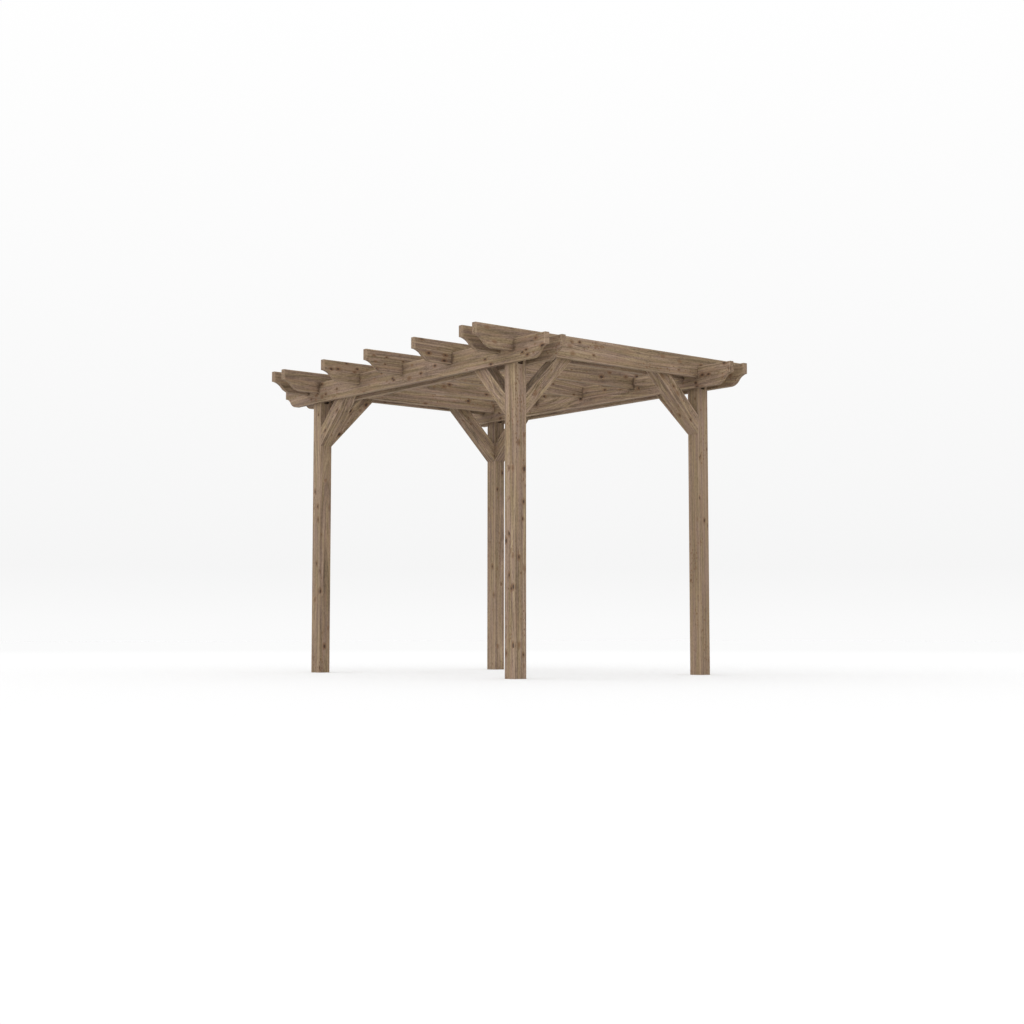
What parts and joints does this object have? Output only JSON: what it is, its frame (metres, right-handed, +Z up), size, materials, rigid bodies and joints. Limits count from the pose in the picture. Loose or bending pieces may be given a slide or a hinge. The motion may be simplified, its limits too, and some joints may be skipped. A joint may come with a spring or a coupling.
{
  "type": "wooden pergola",
  "caption": "Free-standing timber pergola: square posts, paired beams and rafters with ogee ends, notched together, and knee braces at each post.",
  "frame": {"origin": "on the ground, at the middle of the plan", "axes": "+X along the beams, +Y along the rafters, +Z up; front is -Y and left is -X"},
  "size_m": [3.124, 2.498, 2.263],
  "materials": {
    "post_timber": "weathered grey-brown softwood, bare, with knots",
    "beam_timber": "weathered grey-brown softwood, bare, with knots",
    "rafter_timber": "weathered grey-brown softwood, bare, with knots",
    "brace_timber": "weathered grey-brown softwood, bare, with knots"
  },
  "bodies": {
    "root": {"beam_back_inner": "beam_timber", "beam_back_outer": "beam_timber", "beam_front_inner": "beam_timber", "beam_front_outer": "beam_timber", "brace_beam_back_left": "brace_timber", "brace_beam_back_right": "brace_timber", "brace_beam_front_left": "brace_timber", "brace_beam_front_right": "brace_timber", "brace_rafter_back_left": "brace_timber", "brace_rafter_back_right": "brace_timber", "brace_rafter_front_left": "brace_timber", "brace_rafter_front_right": "brace_timber", "post_back_left": "post_timber", "post_back_right": "post_timber", "post_front_left": "post_timber", "post_front_right": "post_timber", "rafter_left_inner": "rafter_timber", "rafter_left_outer": "rafter_timber", "rafter_middle_centre": "rafter_timber", "rafter_middle_left": "rafter_timber", "rafter_middle_right": "rafter_timber", "rafter_right_inner": "rafter_timber", "rafter_right_outer": "rafter_timber"}
  },
  "joints": []
}
